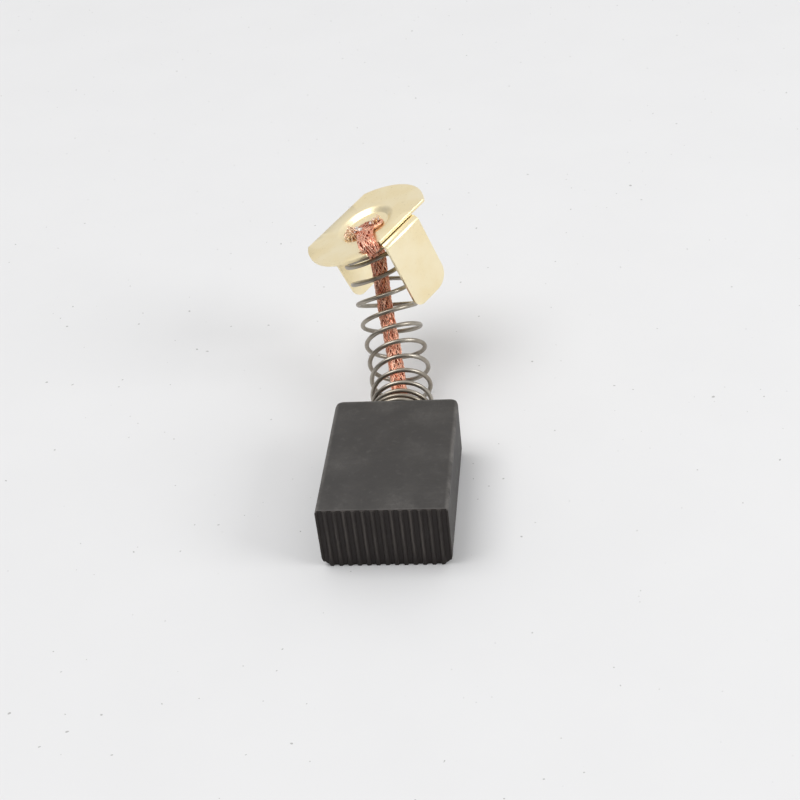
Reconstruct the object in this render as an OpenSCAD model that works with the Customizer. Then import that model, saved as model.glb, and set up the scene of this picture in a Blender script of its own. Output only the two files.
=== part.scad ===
// Carbon brush: a ribbed carbon block, a coil spring, a braided copper lead and a folded
// brass terminal cap. Millimetres. The origin is the centre of the block's wide rest face.
// X runs across the ribbed contact face, Y runs from that face towards the spring, Z is up.
// The cap is shown where the free, bowed spring holds it.

/* [Carbon block] */
// Width across the ribbed contact face
block_w = 13; // [9:0.5:20]
// Thickness from the rest face to the top face
block_t = 7; // [6:0.5:12]
// Length from the contact face to the spring face
block_l = 18; // [14:0.5:30]
// Radius of the two long edges of the rest face
rest_edge_r = 1.2; // [0.3:0.1:2]
// Radius of the two upright edges of the spring face
back_edge_r = 0.9; // [0.3:0.1:2]
// Bevel on the long edges of the top face
top_edge_bevel = 0.2; // [0.1:0.05:0.5]
// Number of ribs across the contact face
rib_count = 14; // [6:1:18]
// Depth of the grooves between the ribs
rib_depth = 0.2; // [0.1:0.05:0.5]
// Width of the flat crest on each rib
rib_crest = 0.3; // [0.15:0.05:0.4]
// Diameter of the hole that anchors the braid
anchor_d = 3.2; // [2.6:0.1:4]
// Depth of the hole that anchors the braid
anchor_depth = 7; // [4:0.5:10]

/* [Spring] */
// Outside diameter of the coils
spring_od = 6.9; // [6.4:0.1:7]
// Diameter of the spring wire
wire_d = 0.5; // [0.3:0.05:0.6]
// Number of turns from one end of the wire to the other
spring_turns = 13.15; // [9.15:1:15.15]
// Rise of one turn where the coils are close together at either end
close_pitch = 0.85; // [0.75:0.05:1.3]
// Close turns against the carbon block
block_close_turns = 2.9; // [1:0.1:4]
// Close turns under the terminal cap
cap_close_turns = 2.1; // [1:0.1:3]
// How far the spring keeps the direction in which it leaves the block
spring_lead_out = 12.3; // [8:0.1:15]
// Angle by which the spring dips as it leaves the block
spring_dip = 3; // [0:0.2:3.4]
// How far below the cap the spring has the direction of its top end
spring_lead_in = 6.2; // [3:0.1:8]

/* [Copper braid] */
// Diameter of the round braid
braid_d = 1.7; // [1.4:0.05:1.8]
// Width of the braid where it is pressed flat at the cap
flat_w = 2; // [1.6:0.1:2.2]
// Thickness of the braid where it is pressed flat at the cap
flat_t = 0.8; // [0.6:0.05:0.9]
// Spread of the welded end, across the braid
weld_w = 5; // [3.5:0.1:5.2]
// Length of the welded end, along the braid
weld_l = 2; // [1.4:0.1:2.4]
// Thickness of the welded end
weld_t = 0.5; // [0.3:0.05:0.6]

/* [Terminal cap] */
// Thickness of the brass sheet
sheet_t = 0.35; // [0.25:0.05:0.5]
// Diameter of the round ends of the cap
cap_d = 14.4; // [13:0.2:18]
// Distance between the two flat edges of the cap
cap_flats = 10.5; // [10:0.1:12]
// Width of each folded leg
leg_w = 5.4; // [4:0.1:6]
// Length of each leg, from the outer face of the cap to its tip
leg_l = 9.4; // [6:0.2:12]
// Distance between the outer faces of the legs at their folds
leg_span = 11.9; // [11:0.1:13]
// Angle by which each leg leans in below its fold
leg_toe_in = 2.3; // [0:0.1:5]
// Inner radius of each fold
fold_r = 0.3; // [0.1:0.05:0.8]
// Radius of the larger corner at each leg's tip
tip_big_r = 2; // [0.5:0.1:2.4]
// Radius of the smaller corner at each leg's tip
tip_small_r = 1.1; // [0.5:0.1:2]
// Diameter of the dish at its rim
dish_d = 7; // [6:0.1:8]
// Diameter of the flat floor of the dish
dish_floor_d = 4.4; // [3:0.1:5]
// Depth of the dish
dish_depth = 0.6; // [0.3:0.05:0.8]
// Width of the notch that the braid passes through
notch_w = 2.1; // [1.6:0.1:2.3]
// Depth of the notch from the flat edge of the cap, in the middle of the notch
notch_depth = 0.9; // [0.7:0.1:1.1]
// Slant of the notch's floor, which faces the way that the braid takes over the cap
notch_slant = 30; // [20:1:36]

/* [Cap position] */
// Sideways place of the cap's outer face, from the middle of the spring face
cap_side = -4.2; // [-6:0.1:0]
// Distance of the cap's outer face beyond the spring face
cap_reach = 18.9; // [16:0.1:24]
// Height of the cap's outer face above the middle of the spring face
cap_rise = 14.3; // [10:0.1:16]
// Turn of the cap about the vertical
cap_turn = 52.2; // [40:0.2:65]
// Sideways lean of the cap
cap_lean = -14; // [-25:0.2:0]
// Forward tilt of the cap
cap_tilt = -15.4; // [-25:0.2:0]

/* [Hidden] */
$fn = 64;

// Overrun of a cut past the face it opens.
cut = 0.5;
// Gap between pieces that only touch.
touch_gap = 0.02;
// Gap all round the braid in the tamped hole.
braid_gap = 0.04;

// Middle of the spring face, where the braid and the spring's axis start.
spring_face = [0, block_l / 2, block_t / 2];

// The cap's own axes: x along its flat edges, y from one leg to the other, z out of its face.
cap_place = spring_face + [cap_side, cap_reach, cap_rise];

function turned_x(v, a) = [v.x, v.y * cos(a) - v.z * sin(a), v.y * sin(a) + v.z * cos(a)];
function turned_y(v, a) = [v.x * cos(a) + v.z * sin(a), v.y, v.z * cos(a) - v.x * sin(a)];
function turned_z(v, a) = [v.x * cos(a) - v.y * sin(a), v.x * sin(a) + v.y * cos(a), v.z];
function cap_way(v) = turned_z(turned_y(turned_x(v, cap_tilt), cap_lean), cap_turn);
function on_cap(p) = cap_place + cap_way(p);

// Vector helpers and smooth steps.
function unit(v) = v / norm(v);
function square_to(v, axis) = unit(v - (v * axis) * axis);
function between(t) = min(1, max(0, t));
function ease(t) = let (u = between(t)) u * u * (3 - 2 * u);
function blend(a, b, t) = a + (b - a) * t;

// Point on a Bezier curve with any number of control points.
function bezier(c, t) = len(c) == 1 ? c[0]
    : bezier([for (i = [0:len(c) - 2]) blend(c[i], c[i + 1], t)], t);

// Closed tube through rings of points that run anticlockwise about the direction of travel.
module tube(rings) {
    n = len(rings[0]);
    last = (len(rings) - 1) * n;
    sides = [
        for (k = [0:len(rings) - 2], i = [0:n - 1])
        let (a = k * n + i, b = k * n + (i + 1) % n)
        each [[a, a + n, b + n], [a, b + n, b]]
    ];
    ends = [[for (i = [0:n - 1]) i], [for (i = [n - 1:-1:0]) last + i]];
    polyhedron(points = [for (ring = rings) each ring], faces = concat(ends, sides));
}

// ---- Carbon block ----

rib_pitch = block_w / rib_count;

// Outline seen from the top: grooves on the contact face, rounded corners at the back.
module block_plan() {
    half_w = block_w / 2;
    half_l = block_l / 2;
    flank = 0.14 * rib_pitch;
    groove_w = rib_pitch - rib_crest;
    front = [
        for (i = [0:rib_count - 1])
        let (x = -half_w + i * rib_pitch + rib_crest / 2)
        each [[x, -half_l],
            [x + flank, rib_depth - half_l],
            [x + groove_w - flank, rib_depth - half_l],
            [x + groove_w, -half_l]]
    ];
    outline = concat([[-half_w, -half_l]], front,
        [[half_w, -half_l], [half_w, half_l], [-half_w, half_l]]);
    difference() {
        polygon(outline);
        for (side = [-1, 1])
            translate([side * half_w, half_l]) corner_waste(back_edge_r, side, 1);
    }
}

// What a rounding of radius r removes from a square corner that points to (sx, sy).
module corner_waste(r, sx, sy) {
    difference() {
        translate([sx * (cut - r) / 2, sy * (cut - r) / 2]) square(r + cut, center = true);
        translate([-sx * r, -sy * r]) circle(r);
    }
}

// Outline seen along the block: rounded lower corners, bevelled upper corners.
module block_section() {
    difference() {
        translate([-block_w / 2, 0]) square([block_w, block_t]);
        for (side = [-1, 1]) {
            translate([side * block_w / 2, 0]) corner_waste(rest_edge_r, side, -1);
            translate([side * block_w / 2, block_t]) rotate(45)
                square(top_edge_bevel * sqrt(2), center = true);
        }
    }
}

module carbon_block() {
    color([0.27, 0.27, 0.28])
    difference() {
        intersection() {
            linear_extrude(block_t) block_plan();
            translate([0, block_l / 2 + cut, 0]) rotate([90, 0, 0])
                linear_extrude(block_l + 2 * cut) block_section();
        }
        translate(spring_face + [0, -anchor_depth, 0]) rotate([-90, 0, 0])
            cylinder(h = anchor_depth + cut, d = anchor_d);
    }
}

// How far the braid goes into the tamped hole, and how far the powder stays below its mouth.
braid_in_plug = 0.57 * anchor_depth;
plug_recess = 0.14 * anchor_depth;

// Powder tamped into the hole round the braid.
module tamping_plug() {
    plug_l = anchor_depth - plug_recess;
    color([0.36, 0.29, 0.25])
    translate(spring_face + [0, -anchor_depth, 0]) rotate([-90, 0, 0])
    difference() {
        cylinder(h = plug_l, d = anchor_d);
        translate([0, 0, anchor_depth - braid_in_plug - braid_gap])
            cylinder(h = braid_in_plug, d = braid_d + 2 * braid_gap);
    }
}

// ---- Coil spring ----

wire_r = wire_d / 2;
coil_r = (spring_od - wire_d) / 2;

// Top end of the spring's axis in the cap's own axes. It is off centre, because the braid
// leaves between the last coil and the cap, and the spring arrives a little aslant.
spring_top = [-0.17 * spring_od, -0.06 * spring_od, -sheet_t - 1.41 * close_pitch];
arrival = cap_way(unit([-0.18, -0.17, -1]));

spring_axis = [
    spring_face,
    spring_face + spring_lead_out * [0, cos(spring_dip), -sin(spring_dip)],
    spring_face + [0.72 * cap_side, 0.81 * cap_reach, 0.36 * cap_rise],
    on_cap(spring_top) + spring_lead_in * arrival,
    on_cap(spring_top)
];

// Distance run along the axis, as pairs of [distance, curve parameter].
axis_steps = 160;
axis_table = [
    for (i = 0, p = spring_face, run = 0; i <= axis_steps;
        i = i + 1,
        q = bezier(spring_axis, i / axis_steps),
        run = run + norm(q - p),
        p = q)
    [run, i / axis_steps]
];
axis_l = axis_table[axis_steps][0];
function axis_at(s) = bezier(spring_axis, lookup(s, axis_table));

// Share of the open pitch at each turn: none at either end, all of it between them.
block_ease = 3.2;
cap_ease = 0.6;
function openness(turn) = ease((turn - block_close_turns + block_ease / 2) / block_ease)
    * ease((spring_turns - cap_close_turns + cap_ease / 2 - turn) / cap_ease);

// Rise of the coil up to each ring: close_pitch everywhere, and the rest shared by openness.
rings_per_turn = 20;
spring_rings = round(spring_turns * rings_per_turn);
open_sum = [
    for (i = 0, sum = 0; i <= spring_rings; i = i + 1, sum = sum + openness(i / rings_per_turn)) sum
];
spare_l = axis_l - wire_r - close_pitch * spring_turns;
function rise_at(i) = wire_r + close_pitch * i / rings_per_turn
    + spare_l * open_sum[i] / open_sum[spring_rings];

// Centre of the coil, direction of its axis and a side direction that never twists.
coil_centres = [for (i = [0:spring_rings]) axis_at(rise_at(i))];
coil_ways = [
    for (i = [0:spring_rings])
    unit(axis_at(min(axis_l, rise_at(i) + 0.05)) - axis_at(max(0, rise_at(i) - 0.05)))
];
coil_sides = [
    for (i = 0, side = square_to([1, 0, 0], coil_ways[0]); i <= spring_rings;
        i = i + 1, side = i > spring_rings ? side : square_to(side, coil_ways[i]))
    side
];
function coil_spoke(i) = let (a = 180 + 360 * i / rings_per_turn)
    cos(a) * coil_sides[i] + sin(a) * cross(coil_ways[i], coil_sides[i]);
function plain_coil(i) = coil_centres[i] + coil_r * coil_spoke(i);

// The last part of the wire turns up until its tip touches the underside of the cap.
tip_turn = 0.35;
cap_normal = cap_way([0, 0, 1]);
tip_lift = (cap_place - plain_coil(spring_rings)) * cap_normal - sheet_t - wire_r - touch_gap;
wire_path = [
    for (i = [0:spring_rings])
    plain_coil(i) + tip_lift * cap_normal
        * ease(1 - (spring_rings - i) / rings_per_turn / tip_turn)
];

wire_sides = 8;
wire_section = [
    for (i = [0:spring_rings])
    let (way = unit(wire_path[min(spring_rings, i + 1)] - wire_path[max(0, i - 1)]),
        out = square_to(coil_spoke(i), way),
        over = cross(way, out))
    [for (k = [0:wire_sides - 1]) let (a = 360 * (k + 0.5) / wire_sides)
        wire_path[i] + wire_r * (cos(a) * out + sin(a) * over)]
];

module coil_spring() {
    color([0.42, 0.41, 0.4]) tube(wire_section);
}

// ---- Copper braid ----

// Middle of the notch's floor, in the flat edge of the cap beside the leg.
notch_centre = [-(leg_w + notch_w) / 2, notch_depth - cap_flats / 2];

// The welded end lies in the dish, and the braid runs to it from the notch.
weld_centre = dish_d * [-0.065, -0.07];
weld_z = -dish_depth + weld_t / 2 + touch_gap;
inward = unit(weld_centre - notch_centre);
sideways = [inward.y, -inward.x];
over_z = flat_t / 2 + touch_gap;
under_z = -sheet_t - flat_t / 2 - touch_gap;

// A point at a share of the way from the notch to the weld, at a height over the cap.
function on_way(share, z, aside = 0) =
    let (p = blend(notch_centre, weld_centre, share) + aside * sideways) on_cap([p.x, p.y, z]);

// Points along the braid: [place, share of the flattened shape].
braid_route = [
    [spring_face - [0, braid_in_plug, 0], 0],
    [spring_face - [0, braid_in_plug / 2, 0], 0],
    [spring_face, 0],
    [axis_at(0.12 * axis_l) - [0.06 * braid_d, 0, 0], 0],
    [axis_at(0.3 * axis_l) - [0.18 * braid_d, 0, 0], 0],
    [axis_at(0.48 * axis_l) - [0.2 * braid_d, 0, 0], 0],
    [axis_at(0.66 * axis_l) - [0.18 * braid_d, 0, 0], 0],
    [axis_at(0.8 * axis_l), 0.1],
    [on_way(0.73, 3.4 * under_z), 0.6],
    [on_way(0.57, 1.75 * under_z), 0.9],
    [on_way(0.31, 1.07 * under_z), 1],
    [on_way(0.04, 0.96 * under_z), 1],
    [on_way(-0.12, -sheet_t / 2, 0.15 * braid_d), 1],
    [on_way(0.02, 1.1 * over_z, 0.06 * braid_d), 1],
    [on_way(0.3, over_z), 1],
    [on_way(0.51, 0.9 * over_z), 1],
    [on_way(0.84, 0.6 * weld_z), 1],
    [on_way(1, weld_z), 1],
    [on_way(1, weld_z) + weld_l / 2 * cap_way([inward.x, inward.y, 0]), 1]
];

// Catmull-Rom curve through the route.
route_last = len(braid_route) - 1;
function route_item(i, k) = braid_route[min(route_last, max(0, i))][k];
function through(i, t, k) = let (
        a = route_item(i - 1, k), b = route_item(i, k),
        c = route_item(i + 1, k), d = route_item(i + 2, k))
    0.5 * (2 * b + (c - a) * t + (2 * a - 5 * b + 4 * c - d) * t * t
        + (3 * b - a - 3 * c + d) * t * t * t);
rings_per_leg = 4;
braid_rings = route_last * rings_per_leg;
function braid_at(j) = through(floor(j / rings_per_leg), (j % rings_per_leg) / rings_per_leg, 0);
function flatness(j) = between(through(floor(j / rings_per_leg),
    (j % rings_per_leg) / rings_per_leg, 1));
braid_path = [for (j = [0:braid_rings]) braid_at(j)];
braid_to_go = [
    for (j = braid_rings, run = 0; j >= 0;
        run = j == 0 ? run : run + norm(braid_path[j] - braid_path[j - 1]), j = j - 1)
    run
];

// Half width and half thickness at each ring, with the frayed bar at the welded end.
braid_across = cap_way([sideways.x, sideways.y, 0]);
function bar_share(j) = let (u = between(1 - braid_to_go[braid_rings - j] / weld_l))
    u <= 0 ? 0 : pow(max(0.02, 1 - pow(abs(2 * u - 1), 3)), 1 / 3);
function half_w(j) = max(bar_share(j) * weld_w / 2,
    blend(braid_d, flat_w, flatness(j)) / 2
        * (braid_to_go[braid_rings - j] > 0.2 * weld_l ? 1 : 0.2));
function half_t(j) = let (flat = blend(braid_d, flat_t, flatness(j)) / 2)
    blend(flat, weld_t / 2, ease(2 - braid_to_go[braid_rings - j] / weld_l))
    * (j == braid_rings ? 0.5 : 1);

// Raised strands alternate from ring to ring, which gives the crossed look of a plait.
braid_sides = 16;
strand_relief = 0.05;
braid_section = [
    for (j = [0:braid_rings])
    let (way = unit(braid_path[min(braid_rings, j + 1)] - braid_path[max(0, j - 1)]),
        out = square_to(braid_across, way),
        over = cross(way, out))
    [for (k = [0:braid_sides - 1])
        let (a = 360 * k / braid_sides, high = 1 - strand_relief * ((k + j) % 2))
        braid_path[j] + high * (half_w(j) * cos(a) * out + half_t(j) * sin(a) * over)]
];

module copper_braid() {
    color([0.8, 0.47, 0.35]) tube(braid_section);
}

// ---- Terminal cap ----

fold_out_r = fold_r + sheet_t;
leg_drop = leg_l - fold_out_r;

module place_on_cap() {
    translate(cap_place) rotate([cap_tilt, cap_lean, cap_turn]) children();
}

// Lip of the dish from rim to floor, as seen in section.
dish_steps = 8;
function dish_lip(d, depth) = [
    for (i = [0:dish_steps])
    [blend(d, dish_floor_d, i / dish_steps) / 2, -depth * ease(i / dish_steps)]
];

// Flat outline: a disc with two flat edges and the braid's notch, whose floor slants.
module cap_outline() {
    low = -cap_flats / 2 - cut;
    rise = notch_w / 2 * tan(notch_slant);
    difference() {
        intersection() {
            circle(d = cap_d, $fn = 96);
            square([cap_d, cap_flats], center = true);
        }
        polygon([
            [notch_centre.x - notch_w / 2, low],
            [notch_centre.x + notch_w / 2, low],
            notch_centre + [notch_w / 2, -rise],
            notch_centre + [-notch_w / 2, rise]
        ]);
    }
}

// Edge view of the strip that becomes the legs, from the middle of the cap to one tip.
fold_steps = 8;
fold_centre = [leg_span / 2 - fold_out_r, -fold_out_r];
leg_way = [-sin(leg_toe_in), -cos(leg_toe_in)];
function fold_arc(r) = [
    for (i = [0:fold_steps])
    let (a = blend(90, -leg_toe_in, i / fold_steps)) fold_centre + r * [cos(a), sin(a)]
];
function half_strip() = let (outer = fold_arc(fold_out_r), inner = fold_arc(fold_r)) concat(
    outer,
    [outer[fold_steps] + leg_drop * leg_way, inner[fold_steps] + leg_drop * leg_way],
    [for (i = [fold_steps:-1:0]) inner[i]]
);
function mirrored(points) = [
    for (i = [len(points) - 1:-1:0]) [-points[i].x, points[i].y]
];

// Both legs and the strip between them, with one large and one small corner on each tip.
module folded_strip() {
    difference() {
        rotate([90, 0, 90]) linear_extrude(leg_w, center = true)
            polygon(concat(half_strip(), mirrored(half_strip())));
        for (side = [0, 1])
            mirror([0, side, 0]) translate([0, fold_centre.x, fold_centre.y])
                rotate([-leg_toe_in, 0, 0]) translate([0, fold_out_r, -leg_drop])
                    rotate([90, 0, 0]) linear_extrude(4 * sheet_t, center = true) {
                        translate([leg_w / 2, 0]) corner_waste(tip_big_r, 1, -1);
                        translate([-leg_w / 2, 0]) corner_waste(tip_small_r, -1, -1);
                    }
    }
}

module terminal_cap() {
    color([0.9, 0.83, 0.66])
    place_on_cap() difference() {
        union() {
            translate([0, 0, -sheet_t]) linear_extrude(sheet_t) cap_outline();
            rotate_extrude() translate([0, -sheet_t])
                polygon(concat(dish_lip(dish_d, dish_depth), [[0, -dish_depth], [0, 0]]));
            folded_strip();
        }
        rotate_extrude()
            polygon(concat(dish_lip(dish_d, dish_depth),
                [[0, -dish_depth], [0, cut], [dish_d / 2, cut]]));
    }
}

// ---- Solder spots ----

// Two low domes that fix the frayed bar, one on each side of the braid.
module solder_spots() {
    spot_r = 0.3 * weld_w;
    spot_h = 0.5 * weld_t;
    color([0.72, 0.7, 0.68])
    place_on_cap() for (side = [-1, 1])
        translate([0, 0, weld_z + weld_t / 2 - touch_gap])
            translate(weld_centre + side * 0.23 * weld_w * sideways)
                rotate_extrude() intersection() {
                    translate([0, spot_h - spot_r]) circle(spot_r);
                    square([spot_r, spot_h]);
                }
}

carbon_block();
tamping_plug();
coil_spring();
copper_braid();
terminal_cap();
solder_spots();
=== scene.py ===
"""Carbon brush, dressed for rendering: a ribbed carbon block, a bowed coil spring, a plaited
copper lead and a folded brass terminal cap, on a plain pale floor."""

import math
import random

import bmesh
import bpy
import numpy as np
from bpy.props import FloatProperty, FloatVectorProperty, IntProperty, PointerProperty
from mathutils import Euler, Matrix, Vector


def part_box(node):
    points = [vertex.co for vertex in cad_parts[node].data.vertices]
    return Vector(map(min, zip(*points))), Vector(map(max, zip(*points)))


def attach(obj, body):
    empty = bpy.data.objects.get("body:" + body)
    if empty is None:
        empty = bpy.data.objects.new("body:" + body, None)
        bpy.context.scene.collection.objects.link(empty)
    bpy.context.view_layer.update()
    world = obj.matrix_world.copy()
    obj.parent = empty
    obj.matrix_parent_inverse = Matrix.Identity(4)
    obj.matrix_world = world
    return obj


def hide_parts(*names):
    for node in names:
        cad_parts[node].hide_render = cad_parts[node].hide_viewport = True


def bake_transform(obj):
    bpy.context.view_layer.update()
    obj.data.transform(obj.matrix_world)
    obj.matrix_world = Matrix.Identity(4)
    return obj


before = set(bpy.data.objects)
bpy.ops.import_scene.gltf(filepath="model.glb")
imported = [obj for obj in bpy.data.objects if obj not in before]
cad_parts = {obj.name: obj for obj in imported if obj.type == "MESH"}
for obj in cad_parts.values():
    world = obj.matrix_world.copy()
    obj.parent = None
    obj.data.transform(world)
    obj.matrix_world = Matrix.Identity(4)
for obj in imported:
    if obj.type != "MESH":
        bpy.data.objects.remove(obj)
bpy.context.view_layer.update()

bl_info = {
    "name": "Carbon brush",
    "version": (1, 0, 0),
    "blender": (4, 5, 0),
    "location": "3D View > Sidebar > Carbon brush",
    "description": "Builds a motor brush with its spring, braided lead and folded brass cap",
    "category": "Add Mesh",
}

MM = 0.001
TOUCH = 0.02 * MM  # room left between pieces that lie against each other


# ---------------------------------------------------------------------------------------
# Sizes and colours that a user would change
# ---------------------------------------------------------------------------------------

def length(name, description, default):
    return FloatProperty(name=name, description=description, default=default * MM, min=0,
                         unit="LENGTH", precision=5)


def angle(name, description, default):
    return FloatProperty(name=name, description=description, default=math.radians(default),
                         subtype="ANGLE")


def colour(name, description, default):
    return FloatVectorProperty(name=name, description=description, default=default, size=3,
                               min=0, max=1, subtype="COLOR")


class CarbonBrushBlock(bpy.types.PropertyGroup):
    """Edges and colours of the carbon block."""
    edge_wear: length("Edge wear", "Width of the softened sharp edges", 0.12)
    carbon: colour("Carbon", "Colour of the pressed carbon", (0.041, 0.038, 0.036))
    rubbed: colour("Rubbed carbon", "Colour of scuffs and rubbed edges", (0.17, 0.16, 0.15))
    # groove_shade is painted shade: the colour deep in the grooves, where shade falls
    groove_shade: colour("Groove", "Colour deep in the grooves", (0.022, 0.016, 0.014))
    rib_depth: length("Rib depth", "Depth of the grooves in the contact face", 0.2)
    ribs: IntProperty(name="Ribs", description="Ribs across the contact face", default=14,
                      min=6, max=18)
    powder: colour("Tamped powder", "Colour of the powder round the lead", (0.10, 0.06, 0.045))


class CarbonBrushSpring(bpy.types.PropertyGroup):
    """Shape of the bowed coil spring."""
    outside: length("Outside diameter", "Outside diameter of the coils", 6.9)
    wire: length("Wire diameter", "Diameter of the spring wire", 0.5)
    turns: FloatProperty(name="Turns", description="Turns from one end to the other",
                         default=13.15, min=6, max=20)
    close_pitch: length("Close pitch", "Rise of one turn at either end", 0.85)
    block_close: FloatProperty(name="Close turns at the block", default=2.9, min=0, max=5,
                               description="Close turns against the carbon block")
    cap_close: FloatProperty(name="Close turns at the cap", default=2.1, min=0, max=5,
                             description="Close turns under the terminal cap")
    lead_out: length("Lead out", "How far the spring keeps its first direction", 12.3)
    lead_in: length("Lead in", "How far below the cap the spring has its last direction", 6.2)
    dip: angle("Dip", "Angle by which the spring dips as it leaves the block", 3)
    steel: colour("Steel", "Colour of the spring wire", (0.42, 0.385, 0.33))


class CarbonBrushBraid(bpy.types.PropertyGroup):
    """Plait and colours of the copper lead."""
    diameter: length("Diameter", "Diameter of the round part of the lead", 1.7)
    flat_width: length("Flat width", "Width where the lead is pressed flat", 2)
    flat_thickness: length("Flat thickness", "Thickness where the lead is pressed flat", 0.8)
    weld_width: length("Weld width", "Spread of the welded end", 4.3)
    weld_length: length("Weld length", "Length of the welded end", 2)
    weld_thickness: length("Weld thickness", "Thickness of the welded end", 0.5)
    lay: length("Lay", "Length in which a strand goes once round the plait", 14)
    carriers: IntProperty(name="Carriers", description="Strands that run each way round",
                          default=8, min=4, max=12)
    wires: IntProperty(name="Wires", description="Fine wires side by side in a strand",
                       default=3, min=1, max=6)
    copper: colour("Copper", "Colour of clean copper wire", (1.0, 0.66, 0.50))
    dull_copper: colour("Dull copper", "Colour of duller copper wire", (0.86, 0.27, 0.14))
    # shade_copper is painted shade: the colour of the dark core seen between the strands
    shade_copper: colour("Dark copper", "Colour deep between the strands", (0.22, 0.028, 0.012))


class CarbonBrushCap(bpy.types.PropertyGroup):
    """Form and colours of the folded brass cap."""
    sheet: length("Sheet", "Thickness of the brass sheet", 0.35)
    diameter: length("Diameter", "Diameter of the round ends", 14.4)
    flats: length("Flats", "Distance between the two flat edges", 10.5)
    leg_width: length("Leg width", "Width of each leg", 5.4)
    leg_length: length("Leg length", "Length of each leg from the outer face", 9.4)
    leg_span: length("Leg span", "Distance over the folds of the legs", 11.9)
    toe_in: angle("Toe-in", "Angle by which each leg leans in", 2.3)
    fold: length("Fold radius", "Inner radius of each fold", 0.3)
    big_corner: length("Large corner", "Radius of the larger corner at each tip", 2)
    small_corner: length("Small corner", "Radius of the smaller corner at each tip", 1.1)
    dish: length("Dish diameter", "Diameter of the dish at its rim", 7)
    dish_floor: length("Dish floor", "Diameter of the flat floor of the dish", 4.4)
    dish_depth: length("Dish depth", "Depth of the dish", 0.6)
    notch_width: length("Notch width", "Width of the notch for the lead", 2.1)
    notch_depth: length("Notch depth", "Depth of the notch for the lead", 0.9)
    side: FloatProperty(name="Side", description="Sideways place from the spring face",
                        default=-4.2 * MM, unit="LENGTH", precision=5)
    reach: length("Reach", "Distance beyond the spring face", 18.9)
    rise: length("Rise", "Height above the middle of the spring face", 14.3)
    turn: angle("Turn", "Turn of the cap about the vertical", 52.2)
    lean: angle("Lean", "Sideways lean of the cap", -14)
    tilt: angle("Tilt", "Forward tilt of the cap", -15.4)
    brass: colour("Brass", "Colour of the brass sheet", (0.99, 0.88, 0.62))
    solder: colour("Solder", "Colour of the solder spots", (0.72, 0.69, 0.66))


class CarbonBrushStage(bpy.types.PropertyGroup):
    """Floor and light."""
    floor: colour("Floor", "Colour of the floor", (0.75, 0.75, 0.755))


# ---------------------------------------------------------------------------------------
# Shader maths
# ---------------------------------------------------------------------------------------

class Sock:
    """A node socket that takes part in Python expressions."""

    def __init__(self, mat, socket):
        self.mat = mat
        self.socket = socket

    def math(self, operation, *others):
        return self.mat.node("ShaderNodeMath", {"operation": operation}, [self, *others])

    def math_after(self, operation, first):
        return self.mat.node("ShaderNodeMath", {"operation": operation}, [first, self])

    def __add__(self, other):
        return self.math("ADD", other)

    def __sub__(self, other):
        return self.math("SUBTRACT", other)

    def __mul__(self, other):
        return self.math("MULTIPLY", other)

    def most(self, other):
        return self.math("MAXIMUM", other)

    def least(self, other):
        return self.math("MINIMUM", other)

    def size(self):
        return self.math("ABSOLUTE")

    def __radd__(self, other):
        return self.math_after("ADD", other)

    def __rsub__(self, other):
        return self.math_after("SUBTRACT", other)

    def __rmul__(self, other):
        return self.math_after("MULTIPLY", other)


class Finish:
    """A material under construction: one method adds any node, the rest are shorthands."""

    def __init__(self, name):
        self.material = bpy.data.materials.new(name)
        self.material.use_nodes = True
        self.tree = self.material.node_tree
        self.shader = self.tree.nodes["Principled BSDF"]
        self.place = self.node("ShaderNodeTexCoord", {}, [], out="Object")

    def node(self, kind, settings, inputs, out=0):
        node = self.tree.nodes.new(kind)
        for name, value in settings.items():
            setattr(node, name, value)
        items = inputs.items() if isinstance(inputs, dict) else enumerate(inputs)
        for key, value in items:
            if isinstance(value, Sock):
                self.tree.links.new(value.socket, node.inputs[key])
            else:
                node.inputs[key].default_value = value
        return Sock(self, node.outputs[out])

    def noise(self, scale, detail, roughness, stretch=None):
        place = self.place
        if stretch:
            place = self.node("ShaderNodeMapping", {}, {"Vector": place, "Scale": stretch})
        return self.node("ShaderNodeTexNoise", {}, {
            "Vector": place, "Scale": scale, "Detail": detail, "Roughness": roughness}, out="Fac")

    def ramp(self, value, low, high):
        """0 below low, 1 above high."""
        return self.node("ShaderNodeMapRange", {"interpolation_type": "SMOOTHSTEP"}, {
            "Value": value, "From Min": low, "From Max": high})

    def mix(self, share, first, second):
        """Colour between first and second."""
        first, second = (v if isinstance(v, Sock) else (*v[:3], 1) for v in (first, second))
        return self.node("ShaderNodeMix", {"data_type": "RGBA"}, {0: share, 6: first, 7: second},
                         out=2)

    def axes(self):
        """The x, y and z of the place on the piece."""
        parts = self.node("ShaderNodeSeparateXYZ", {}, [self.place])
        outputs = parts.socket.node.outputs
        return [Sock(self, outputs[name]) for name in ("X", "Y", "Z")]

    def bump(self, height, distance, strength=1.0):
        return self.node("ShaderNodeBump", {}, {
            "Height": height, "Distance": distance, "Strength": strength}, out="Normal")

    def set(self, **values):
        """Links or sets the shader's own sockets, and returns the material."""
        for name, value in values.items():
            socket = self.shader.inputs[name.replace("_", " ")]
            if isinstance(value, Sock):
                self.tree.links.new(value.socket, socket)
            else:
                socket.default_value = value
        return self.material


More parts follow.
